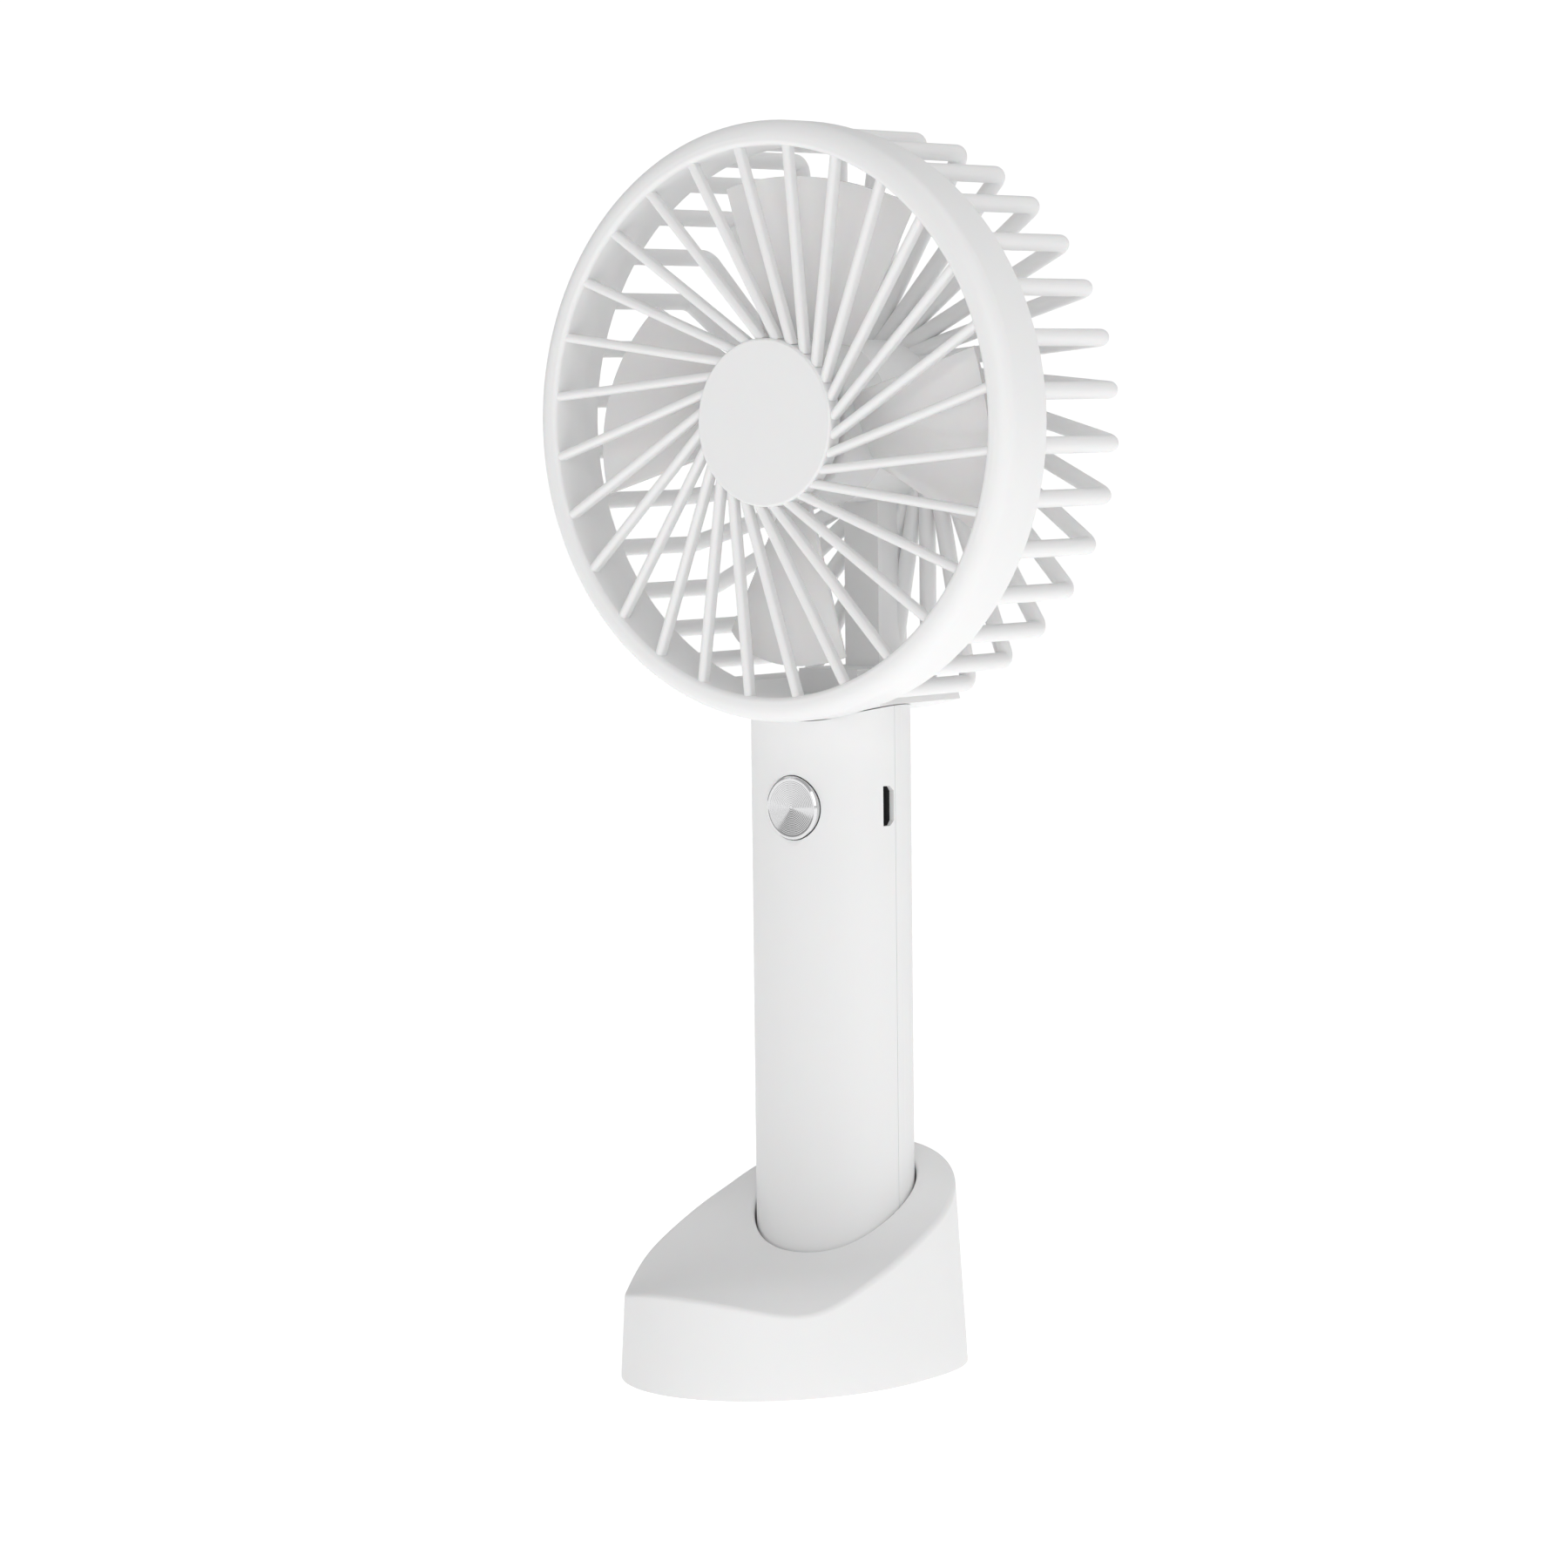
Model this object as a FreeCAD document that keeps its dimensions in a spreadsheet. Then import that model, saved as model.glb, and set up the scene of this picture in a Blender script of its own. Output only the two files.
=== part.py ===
import FreeCAD, Part
import math
import os
import re
import Sketcher
from FreeCAD import Placement, Rotation, Vector

# Handheld electric fan standing in its dock.  Millimetres, +Z up.
# Origin: on the table under the handle's axis.  The fan blows towards -Y and +X is the side with
# the charging port.  Pieces of the head are drawn in the head's own frame: its Z axis runs back
# along the fan's axle from the front of the ring, its X is the fan's X, and its Y points down.

doc = FreeCAD.newDocument("handheld_fan")
sheet = doc.addObject("Spreadsheet::Sheet", "Sizes")

SIZES = {
    # the whole fan
    "head_height": 166.0, "ring_setback": 18.1,
    # front ring, its spokes and the middle disc
    "ring_radius": 52.0, "ring_inner": 47.6, "ring_depth": 8.3, "ring_round": 2.8, "bead_round": 0.9,
    "groove_outer": 50.6, "groove_inner": 49.0, "groove_depth": 2.8,
    "spoke_count": 28, "spoke_offset": 9.2, "spoke_width": 1.6, "spoke_thick": 2.4,
    "spoke_mid": 1.65, "spoke_start": 10.9, "spoke_reach": 36.2, "spoke_phase": -5.3,
    "disc_radius": 14.6, "disc_thick": 3.0, "disc_round": 0.4,
    # rear cage: hoop, round ribs, motor cup, wire column, foot, bridge and neck plug
    "hoop_inner": 48.0, "hoop_outer": 51.6, "hoop_rear": 12.2, "seat_gap": 0.1,
    "tongue_inner": 49.1, "tongue_outer": 50.5,
    "rib_count": 34, "rib_radius": 1.5, "rib_offset": 9.5, "rib_rise": 48.9, "rib_bend": 1.7,
    "rib_end": 9.3, "cage_depth": 36.0, "rear_step": 0.25,
    "cup_outer": 14.3, "cup_inner": 12.95, "cup_front": 17.7, "cup_floor": 1.6,
    "column_half": 3.75, "column_depth": 8.5, "column_wall": 1.3,
    "foot_half": 6.5, "foot_top": 43.5, "foot_front": 17.6,
    "bridge_angle": 35.0, "plug_half": 12.4, "plug_round": 5.8, "plug_wall": 1.5, "plug_end": 62.0,
    # handle shells
    "handle_half": 15.6, "handle_depth": 11.1, "handle_wall": 1.7, "handle_low": 5.4,
    "handle_floor": 1.8, "handle_round": 1.6, "handle_top": 120.0, "seam": -1.6, "seam_gap": 0.08,
    "head_clear": 0.15,
    # button and its switch
    "button_height": 98.7, "button_radius": 5.6, "button_clear": 0.15, "button_front": 11.5,
    "button_thick": 1.1, "collar_radius": 7.4, "collar_back": 8.1, "flange_radius": 6.6,
    "flange_thick": 0.8, "stem_front": 6.3, "stem_radius": 1.7, "stem_back": 4.3,
    "switch_front": 5.4, "switch_half": 3.0,
    # circuit board and charging port
    "board_front": 1.8, "board_back": 0.8, "board_left": -12.2, "board_right": 12.4,
    "board_low": 87.0, "board_high": 103.0, "port_height": 99.1, "port_front": 3.95,
    "port_rear": 1.95, "port_half": 3.5, "socket_mouth": 12.9, "post_x": 9.5, "post_z": 90.6,
    "post_radius": 2.0,
    # handle screws
    "top_screw_z": 108.6, "low_screw_z": 11.0, "boss_radius": 2.4, "screw_radius": 1.0,
    "screw_head": 1.9, "bore_clear": 0.15,
    # battery
    "cell_radius": 9.15, "cell_low": 17.6, "cell_length": 65.0, "nub_radius": 3.0, "nub_rise": 0.8,
    # motor and rotor
    "can_radius": 12.2, "can_front": 19.0, "can_rear": 29.6, "can_wall": 0.6, "bell_rear": 30.8,
    "shaft_radius": 1.0, "bush_clear": 0.03, "bush_radius": 3.1, "core_radius": 9.7,
    # impeller
    "hub_radius": 15.0, "hub_front": 4.8, "hub_rear": 16.6, "hub_wall": 1.2, "hub_boss": 3.2,
    "blade_count": 4, "blade_tip": 42.5, "blade_front": 6.6, "blade_rear": 16.4,
    "blade_half_angle": 23.0, "blade_mid_angle": 6.0,
    # dock
    "dock_half": 27.3, "dock_wide_y": -12.7, "dock_front": 33.9, "dock_rear": 29.5,
    "dock_draft": 3.2, "dock_wall": 2.2, "dock_rim": 0.3, "crease_round": 0.9, "mouth_round": 0.5,
    "socket_clear": 0.35, "socket_wall": 1.8, "socket_floor": 5.2, "pad_thick": 1.0,
    "plate_thick": 1.6,
}

for row, (alias, number) in enumerate(SIZES.items(), start=1):
    sheet.set("A%d" % row, alias)
    sheet.set("B%d" % row, str(number))
    sheet.setAlias("B%d" % row, alias)
doc.recompute()


def mm(alias):
    """One driving size, read from the sheet."""
    return float(sheet.get(alias))


def cells(expression):
    """Write sheet aliases in an expression with the sheet's name in front of them."""
    def prefix(found):
        word = found.group()
        return "Sizes." + word if word in SIZES else word
    return re.sub(r"[a-z]\w*", prefix, expression)


def place(thing, x="0", y="0", z="0", turn=None):
    """Put an object's origin at a point given by three expressions of sheet sizes."""
    thing.Placement = Placement(Vector(), turn if turn else Rotation())
    for axis, size in (("x", x), ("y", y), ("z", z)):
        thing.setExpression("Placement.Base." + axis, cells(size))
    return thing


# ---------------------------------------------------------------- PartDesign helpers
HEAD_TURN = Rotation(Vector(1, 0, 0), -90)


def head_body(label, phase=0.0):
    """A body drawn in the head's frame, turned by phase about the axle."""
    body = doc.addObject("PartDesign::Body", label)
    body.Label = label
    turn = HEAD_TURN * Rotation(Vector(0, 0, 1), phase)
    return place(body, "0", "-ring_setback", "head_height", turn)


def own(body, role):
    """The body's own origin plane or axis."""
    for feature in body.Origin.OriginFeatures:
        if feature.Role == role:
            return feature
    raise ValueError(role)


def sketch_on(body, role, name, offset="0"):
    """A sketch on one of the body's origin planes, moved along its normal."""
    sketch = body.newObject("Sketcher::SketchObject", body.Label + "_" + name)
    sketch.AttachmentSupport = (own(body, role), [""])
    sketch.MapMode = "FlatFace"
    sketch.setExpression("AttachmentOffset.Base.z", cells(offset))
    return sketch


def pin(sketch, geo, point, x, y):
    """Fix one point of a sketch at two expressions of sheet sizes."""
    here = sketch.getPoint(geo, point)
    for kind, size, now in (("DistanceX", x, here.x), ("DistanceY", y, here.y)):
        number = sketch.addConstraint(Sketcher.Constraint(kind, -1, 1, geo, point, now))
        sketch.setExpression("Constraints[%d]" % number, cells(size))


def outline(sketch, corners):
    """A closed outline of straight edges through corners given as pairs of expressions."""
    first = sketch.GeometryCount
    count = len(corners)
    ring = [Vector(math.cos(math.tau * i / count), math.sin(math.tau * i / count)) for i in range(count)]
    for i in range(count):
        sketch.addGeometry(Part.LineSegment(ring[i], ring[(i + 1) % count]), False)
    for i in range(count):
        sketch.addConstraint(Sketcher.Constraint("Coincident", first + i, 2, first + (i + 1) % count, 1))
    for i, (x, y) in enumerate(corners):
        pin(sketch, first + i, 1, x, y)


def rectangle(sketch, left, low, right, high):
    """A closed rectangle between two corners."""
    outline(sketch, [(left, low), (right, low), (right, high), (left, high)])


def ring_curve(sketch, radius, x="0", y="0"):
    """A circle whose centre and radius follow the sheet."""
    geo = sketch.addGeometry(Part.Circle(Vector(1, 1, 0), Vector(0, 0, 1), 1.0), False)
    pin(sketch, geo, 3, x, y)
    number = sketch.addConstraint(Sketcher.Constraint("Radius", geo, 1.0))
    sketch.setExpression("Constraints[%d]" % number, cells(radius))


def stadium(sketch, centre, half_length, radius, upright):
    """A slot with round ends: two lines and two half circles, long along Y when upright."""
    gap = "(%s) - (%s)" % (half_length, radius)
    corners = []
    for end, side in (("+", "+"), ("-", "+"), ("-", "-"), ("+", "-")):
        along = "%s %s (%s)" % (centre[1 if upright else 0], end, gap)
        across = "%s %s (%s)" % (centre[0 if upright else 1], side, radius)
        corners.append((across, along) if upright else (along, across))
    starts = [Vector(3, 1, 0), Vector(-3, 1, 0), Vector(-3, -1, 0), Vector(3, -1, 0)]
    if upright:
        starts = [Vector(v.y, v.x, 0) for v in starts]
    lines = [sketch.addGeometry(Part.LineSegment(starts[i], starts[i + 1]), False) for i in (0, 2)]
    for i, line in enumerate(lines):
        pin(sketch, line, 1, *corners[2 * i])
        pin(sketch, line, 2, *corners[2 * i + 1])
    for i, end in enumerate((1, -1)):
        middle = Vector(0, 3 * end, 0) if upright else Vector(3 * end, 0, 0)
        turn = (90 if upright else 0) + (0 if end > 0 else 180)
        circle = Part.Circle(middle, Vector(0, 0, 1), 1.0)
        arc = Part.ArcOfCircle(circle, math.radians(turn - 90), math.radians(turn + 90))
        geo = sketch.addGeometry(arc, False)
        first, second = (lines[0], 1), (lines[1], 2)
        if end < 0:
            first, second = (lines[0], 2), (lines[1], 1)
        near, far = (1, 2) if upright == (end > 0) else (2, 1)
        sketch.addConstraint(Sketcher.Constraint("Coincident", geo, near, *first))
        sketch.addConstraint(Sketcher.Constraint("Coincident", geo, far, *second))
        kind = "DistanceY" if upright else "DistanceX"
        number = sketch.addConstraint(Sketcher.Constraint(kind, -1, 1, geo, 3, 3.0 * end))
        sketch.setExpression("Constraints[%d]" % number, cells(corners[2 * i][1 if upright else 0]))


def turned(body, name, corners, cut=False, role="XZ_Plane", angle=None):
    """Turn an outline of (radius, depth) corners about the body's Z axis."""
    sketch = sketch_on(body, role, name + "_outline")
    outline(sketch, corners)
    kind = "PartDesign::Groove" if cut else "PartDesign::Revolution"
    feature = body.newObject(kind, body.Label + "_" + name)
    feature.Profile = sketch
    feature.ReferenceAxis = (sketch, ["V_Axis"])
    feature.Angle = 360.0
    if angle:
        feature.Midplane = True
        feature.setExpression("Angle", cells(angle))
    body.Tip = feature
    return feature


def raised(body, name, sketch, length):
    """Pad a sketch along its normal."""
    feature = body.newObject("PartDesign::Pad", body.Label + "_" + name)
    feature.Profile = sketch
    feature.setExpression("Length", cells(length))
    body.Tip = feature
    return feature


def sunk(body, name, sketch, length):
    """Cut a sketch along its normal, and check that something was removed."""
    doc.recompute()
    before = body.Shape.Volume
    feature = body.newObject("PartDesign::Pocket", body.Label + "_" + name)
    feature.Profile = sketch
    feature.Reversed = True
    feature.setExpression("Length", cells(length))
    body.Tip = feature
    doc.recompute()
    if body.Shape.Volume > before - 0.01:
        raise ValueError(name + " cuts nothing")
    return feature


def around(body, name, originals, count):
    """Repeat features about the body's Z axis."""
    pattern = body.newObject("PartDesign::PolarPattern", body.Label + "_" + name)
    pattern.Originals = originals
    pattern.Axis = (own(body, "Z_Axis"), [""])
    pattern.Angle = 360.0
    pattern.setExpression("Occurrences", cells(count))
    body.Tip = pattern
    return pattern


def softened(body, name, radius, test):
    """Round the edges of the body so far for which test(edge) is true."""
    doc.recompute()
    base = body.Tip
    names = ["Edge%d" % (i + 1) for i, edge in enumerate(base.Shape.Edges) if test(edge)]
    if not names:
        raise ValueError(name + " finds no edge")
    fillet = body.newObject("PartDesign::Fillet", body.Label + "_" + name)
    fillet.Base = (base, names)
    fillet.setExpression("Radius", cells(radius))
    body.Tip = fillet
    doc.recompute()
    return fillet


def rim_edge(edge, radius, depth):
    """True for a circle about the Z axis with this radius and depth."""
    curve = edge.Curve
    if not isinstance(curve, Part.Circle) or abs(curve.Radius - radius) > 0.01:
        return False
    centre = curve.Center
    return abs(centre.z - depth) < 0.01 and math.hypot(centre.x, centre.y) < 0.01


# ---------------------------------------------------------------- Part helpers
ALONG = {
    "X": Rotation(Vector(0, 1, 0), 90),
    "Y": Rotation(Vector(1, 0, 0), -90),
    "Z": Rotation(),
}


def drum(name, radius, length, x="0", y="0", z="0", along="Z", angle=None):
    """A Part cylinder that starts at a point and runs along one of the axes."""
    thing = doc.addObject("Part::Cylinder", name)
    thing.setExpression("Radius", cells(radius))
    thing.setExpression("Height", cells(length))
    if angle:
        thing.Angle = angle
    return place(thing, x, y, z, ALONG[along])


def block(name, low, high):
    """A Part box between two corners given by expressions."""
    thing = doc.addObject("Part::Box", name)
    for prop, a, b in zip(("Length", "Width", "Height"), low, high):
        thing.setExpression(prop, cells("(%s) - (%s)" % (b, a)))
    return place(thing, *low)


def oval(name, half, depth, low, high):
    """An upright oval bar."""
    ellipse = doc.addObject("Part::Ellipse", name + "_curve")
    ellipse.setExpression("MajorRadius", cells(half))
    ellipse.setExpression("MinorRadius", cells(depth))
    place(ellipse, "0", "0", low)
    bar = doc.addObject("Part::Extrusion", name)
    bar.Base = ellipse
    bar.DirMode = "Custom"
    bar.Dir = Vector(0, 0, 1)
    bar.Solid = True
    bar.setExpression("LengthFwd", cells("(%s) - (%s)" % (high, low)))
    return bar


def cut(name, base, *tools):
    """The base with every tool taken away."""
    tool = tools[0]
    if len(tools) > 1:
        tool = joined(name + "_tools", *tools)
    thing = doc.addObject("Part::Cut", name)
    thing.Base = base
    thing.Tool = tool
    return thing


def joined(name, *pieces):
    """Several pieces fused into one."""
    thing = doc.addObject("Part::MultiFuse", name)
    thing.Shapes = list(pieces)
    return thing


def shared(name, *pieces):
    """What several pieces have in common."""
    thing = doc.addObject("Part::MultiCommon", name)
    thing.Shapes = list(pieces)
    return thing


def group(name, *pieces):
    """Separate solids kept as one part."""
    thing = doc.addObject("Part::Compound", name)
    thing.Links = list(pieces)
    return thing


def solid_feature(name, shape):
    """A part whose shape is worked out by Part's own functions."""
    thing = doc.addObject("Part::Feature", name)
    thing.Shape = shape
    thing.Placement = Placement()
    return thing


PARTS = {}


def keep(node, thing):
    """Name a finished object after its part."""
    thing.Label = node
    PARTS[node] = thing
    return thing


# ================================================================ head
def make_front_grille():
    """Front ring with a fine bead, straight swirled spokes and the smooth middle disc."""
    body = head_body("front_grille", mm("spoke_phase"))
    turned(body, "ring", [
        ("ring_inner", "0"), ("ring_radius", "0"), ("ring_radius", "ring_depth"),
        ("groove_outer", "ring_depth"), ("groove_outer", "ring_depth - groove_depth"),
        ("groove_inner", "ring_depth - groove_depth"), ("groove_inner", "ring_depth"),
        ("ring_inner", "ring_depth")])
    softened(body, "outer_round", "ring_round", lambda e: rim_edge(e, mm("ring_radius"), 0))
    softened(body, "inner_round", "bead_round", lambda e: rim_edge(e, mm("ring_inner"), 0))
    sketch = sketch_on(body, "XZ_Plane", "spoke_section", "spoke_start")
    stadium(sketch, ("spoke_offset", "spoke_mid"), "spoke_thick / 2", "spoke_width / 2", True)
    spoke = raised(body, "spoke", sketch, "spoke_reach")
    doc.recompute()
    around(body, "spokes", [spoke], "spoke_count")
    disc = sketch_on(body, "XY_Plane", "disc_outline")
    ring_curve(disc, "disc_radius")
    raised(body, "disc", disc, "disc_thick")
    softened(body, "disc_edge", "disc_round", lambda e: rim_edge(e, mm("disc_radius"), 0))
    keep("front_grille", body)


def make_rear_cage():
    """Hoop, bent round ribs, motor cup, hollow wire column, foot and the plug for the handle."""
    body = head_body("rear_cage")
    front = "ring_depth + seat_gap"
    turned(body, "hoop", [
        ("hoop_inner", front), ("tongue_inner", front),
        ("tongue_inner", "ring_depth - groove_depth + seat_gap"),
        ("tongue_outer", "ring_depth - groove_depth + seat_gap"), ("tongue_outer", front),
        ("hoop_outer", front), ("hoop_outer", "hoop_rear"), ("hoop_inner", "hoop_rear")])
    softened(body, "hoop_edge", "0.5", lambda e: rim_edge(e, mm("hoop_outer"), mm("hoop_rear")))

    # one rib: back from the hoop, round a bend, then in to the cup beside the axle
    rise, bend, end = mm("rib_rise"), mm("rib_bend"), mm("rib_end")
    start = mm("hoop_rear") - 2.0
    back = mm("cage_depth") - mm("rib_radius")
    path = sketch_on(body, "YZ_Plane", "rib_path", "-rib_offset")
    path.addGeometry(Part.LineSegment(Vector(-rise, start, 0), Vector(-rise, back - bend, 0)), False)
    corner = Part.Circle(Vector(-rise + bend, back - bend, 0), Vector(0, 0, 1), bend)
    path.addGeometry(Part.ArcOfCircle(corner, math.pi / 2, math.pi), False)
    path.addGeometry(Part.LineSegment(Vector(-rise + bend, back, 0), Vector(-end, back, 0)), False)
    path.addConstraint(Sketcher.Constraint("Vertical", 0))
    path.addConstraint(Sketcher.Constraint("Horizontal", 2))
    path.addConstraint(Sketcher.Constraint("Tangent", 0, 2, 1, 2))
    path.addConstraint(Sketcher.Constraint("Tangent", 1, 1, 2, 1))
    pin(path, 0, 1, "-rib_rise", "hoop_rear - 2")
    pin(path, 2, 2, "-rib_end", "cage_depth - rib_radius")
    number = path.addConstraint(Sketcher.Constraint("Radius", 1, bend))
    path.setExpression("Constraints[%d]" % number, "Sizes.rib_bend")
    section = sketch_on(body, "XY_Plane", "rib_section", "hoop_rear - 2")
    ring_curve(section, "rib_radius", "-rib_offset", "-rib_rise")
    doc.recompute()
    rib = body.newObject("PartDesign::AdditivePipe", "rear_cage_rib")
    rib.Profile = section
    rib.Spine = (path, [])
    body.Tip = rib
    doc.recompute()
    around(body, "ribs", [rib], "rib_count")

    turned(body, "cup", [
        ("0", "cage_depth - cup_floor"), ("cup_inner", "cage_depth - cup_floor"),
        ("cup_inner", "cup_front"), ("cup_outer", "cup_front"), ("cup_outer", "cage_depth + rear_step"),
        ("0", "cage_depth + rear_step")])
    turned(body, "bridge", [
        ("hoop_inner", front), ("hoop_outer", front), ("hoop_outer", "cage_depth - rear_step"),
        ("hoop_inner", "cage_depth - rear_step")], role="YZ_Plane", angle="bridge_angle")
    column = sketch_on(body, "XY_Plane", "column_outline", "cage_depth - column_depth")
    rectangle(column, "-column_half", "cup_inner + 0.6", "column_half", "hoop_inner + 1")
    raised(body, "column", column, "column_depth - rear_step")
    foot = sketch_on(body, "XY_Plane", "foot_outline", "foot_front")
    rectangle(foot, "-foot_half", "foot_top", "foot_half", "hoop_inner + 1")
    raised(body, "foot", foot, "cage_depth - foot_front - rear_step")
    plug = sketch_on(body, "XZ_Plane", "plug_outline", "-plug_end")
    stadium(plug, ("0", "ring_setback"), "plug_half", "plug_round", False)
    raised(body, "plug", plug, "plug_end - hoop_inner - 1.5")

    # hollows for the motor's two wires: plug, drop, foot and column
    hollow = sketch_on(body, "XZ_Plane", "plug_hollow", "-plug_end - 1")
    stadium(hollow, ("0", "ring_setback"), "plug_half - plug_wall", "plug_round - plug_wall", False)
    sunk(body, "plug_bore", hollow, "plug_end - hoop_outer + 1 - 0.4")
    drop = sketch_on(body, "XY_Plane", "drop_outline", "foot_front + 1.2")
    rectangle(drop, "-foot_half + 1.7", "hoop_inner - 1", "foot_half - 1.7", "hoop_outer + 1")
    sunk(body, "drop", drop, "3.6")
    cavity = sketch_on(body, "XY_Plane", "foot_cavity", "foot_front + 1.2")
    rectangle(cavity, "-foot_half + 1.7", "foot_top + 1.3", "foot_half - 1.7", "hoop_inner + 2")
    sunk(body, "foot_room", cavity, "cage_depth - foot_front - 2.8")
    bore = sketch_on(body, "XY_Plane", "column_bore", "cage_depth - column_depth + column_wall")
    rectangle(bore, "-column_half + column_wall", "cup_inner - 0.8",
              "column_half - column_wall", "hoop_inner")
    sunk(body, "column_room", bore, "column_depth - column_wall - cup_floor")
    hole = sketch_on(body, "XY_Plane", "plug_hole")
    ring_curve(hole, "screw_radius + bore_clear", "0", "head_height - top_screw_z")
    sunk(body, "plug_screw_way", hole, "cage_depth")
    keep("rear_cage", body)


def make_impeller():
    """Cupped hub with a boss for the shaft and four twisted blades."""
    hub = head_body("impeller_hub")
    turned(hub, "shell", [
        ("0", "hub_front"), ("hub_radius - 0.6", "hub_front"), ("hub_radius", "hub_rear"),
        ("hub_radius - hub_wall", "hub_rear"), ("hub_radius - hub_wall - 0.5", "hub_front + hub_wall"),
        ("hub_boss", "hub_front + hub_wall"), ("hub_boss", "hub_rear - 1.6"),
        ("shaft_radius", "hub_rear - 1.6"), ("shaft_radius", "hub_front + hub_wall + 0.4"),
        ("0", "hub_front + hub_wall + 0.4")])
    softened(hub, "nose", "1.4", lambda e: rim_edge(e, mm("hub_radius") - 0.6, mm("hub_front")))
    doc.recompute()
    blades = []
    for i in range(int(mm("blade_count"))):
        turn = mm("blade_mid_angle") + i * 360.0 / mm("blade_count")
        blades.append(blade_shape().rotated(Vector(), Vector(0, 0, 1), turn))
    tip = Part.makeCylinder(mm("blade_tip"), 30)
    core = Part.makeCylinder(mm("hub_radius") - mm("hub_wall") + 0.3, 30)
    shape = hub.Tip.Shape
    for blade in blades:
        shape = shape.fuse(blade.common(tip).cut(core))
    shape = shape.removeSplitter()
    thing = solid_feature("impeller_solid", shape)
    place(thing, "0", "-ring_setback", "head_height", HEAD_TURN)
    keep("impeller", thing)


def blade_shape():
    """One blade about the head frame's -Y: a thin curved strip that twists from root to tip."""
    half = math.radians(mm("blade_half_angle"))
    front, rear = mm("blade_front"), mm("blade_rear")
    wires = []
    for reach, thick, camber, flat in ((12.5, 1.7, 0.9, 0.86), (22.0, 1.4, 1.5, 0.94),
                                       (33.0, 1.1, 2.0, 1.0), (46.0, 0.9, 2.4, 1.0)):
        side = reach * math.tan(half)
        middle = (front + rear) / 2
        rise = (rear - front) / 2 * flat
        lead = Vector(side, -reach, middle + rise)
        trail = Vector(-side, -reach, middle - rise)
        along = (lead - trail).normalize()
        across = along.cross(Vector(0, 1, 0)).normalize()
        if across.z > 0:
            across = across * -1
        centre = (lead + trail) * 0.5
        upper = Part.Arc(trail + across * (thick * 0.3), centre + across * (camber + thick / 2),
                         lead + across * (thick * 0.3)).toShape()
        nose = Part.Arc(lead + across * (thick * 0.3), lead + along * (thick * 0.3),
                        lead - across * (thick * 0.3)).toShape()
        lower = Part.Arc(lead - across * (thick * 0.3), centre + across * (camber - thick / 2),
                         trail - across * (thick * 0.3)).toShape()
        tail = Part.Arc(trail - across * (thick * 0.3), trail - along * (thick * 0.3),
                        trail + across * (thick * 0.3)).toShape()
        wires.append(Part.Wire([upper, nose, lower, tail]))
    return Part.makeLoft(wires, True, False)


def make_motor():
    """Small direct-current motor: steel can, plastic end bell, magnets, bushes and brushes."""
    can = head_body("motor_can")
    turned(can, "shell", [
        ("bush_radius", "can_front"), ("can_radius", "can_front"), ("can_radius", "can_rear"),
        ("can_radius - can_wall", "can_rear"), ("can_radius - can_wall", "can_front + can_wall"),
        ("bush_radius", "can_front + can_wall")])
    softened(can, "shoulder", "0.5", lambda e: rim_edge(e, mm("can_radius"), mm("can_front")))
    keep("motor_can", can)
    for name, front, rear in (("motor_front_bushing", "can_front - 1.2", "can_front + 1.4"),
                              ("motor_rear_bushing", "bell_rear - 1.9", "bell_rear + 0.2")):
        bush = head_body(name)
        inner = "shaft_radius + bush_clear"
        turned(bush, "sleeve", [(inner, front), ("bush_radius", front), ("bush_radius", rear),
                                (inner, rear)])
        keep(name, bush)
    bell = head_body("motor_end_bell")
    turned(bell, "plate", [("bush_radius", "can_rear"), ("can_radius", "can_rear"),
                           ("can_radius", "bell_rear"), ("bush_radius", "bell_rear")])
    keep("motor_end_bell", bell)
    sleeve = head_body("motor_sleeve")
    turned(sleeve, "strip", [("can_radius", "can_front + 0.8"), ("cup_inner", "can_front + 0.8"),
                             ("cup_inner", "bell_rear"), ("can_radius", "bell_rear")])
    keep("motor_sleeve", sleeve)

    magnets = []
    for i, start in enumerate((25.0, 205.0)):
        outer = drum("magnet_%d_outer" % i, "can_radius - can_wall", "7.4", angle=130.0)
        inner = drum("magnet_%d_inner" % i, "core_radius + 0.35", "7.4")
        piece = cut("magnet_%d" % i, outer, inner)
        place(piece, "0", "-ring_setback", "head_height",
              HEAD_TURN * Rotation(Vector(0, 0, 1), start))
        for tool in (outer, inner):
            tool.setExpression("Placement.Base.z", cells("can_front + 1.5"))
        magnets.append(piece)
    keep("motor_magnets", group("magnet_pair", *magnets))

    # each brush is a short bar on the commutator, on a leaf that stands on the end bell
    brushes = []
    for i, sign in enumerate((-1, 1)):
        bars = []
        for near, far, front, rear, half in ((2.15, 2.7, 2.6, 0.9, 1.1), (2.6, 3.5, 2.6, 2.2, 1.1),
                                             (3.3, 3.6, 2.6, 0.0, 1.1)):
            left, right = sorted((near * sign, far * sign))
            bars.append(block("brush_%d_%d" % (i, len(bars)),
                              ("%s" % left, "can_rear - ring_setback - %s" % front, "head_height - %s" % half),
                              ("%s" % right, "can_rear - ring_setback - %s" % rear, "head_height + %s" % half)))
        brushes.append(joined("brush_%d" % i, *bars))
    keep("motor_brushes", group("brush_pair", *brushes))

    tabs = []
    for side in ("-", ""):
        x = "(%s1)" % side
        low = ("1.5 * %s - 0.9" % x, "bell_rear - ring_setback", "head_height - 9.6")
        high = ("1.5 * %s + 0.9" % x, "bell_rear - ring_setback + 0.4", "head_height - 6.6")
        tabs.append(block("tab_%d" % len(tabs), low, high))
    keep("motor_terminals", group("tab_pair", *tabs))


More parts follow.
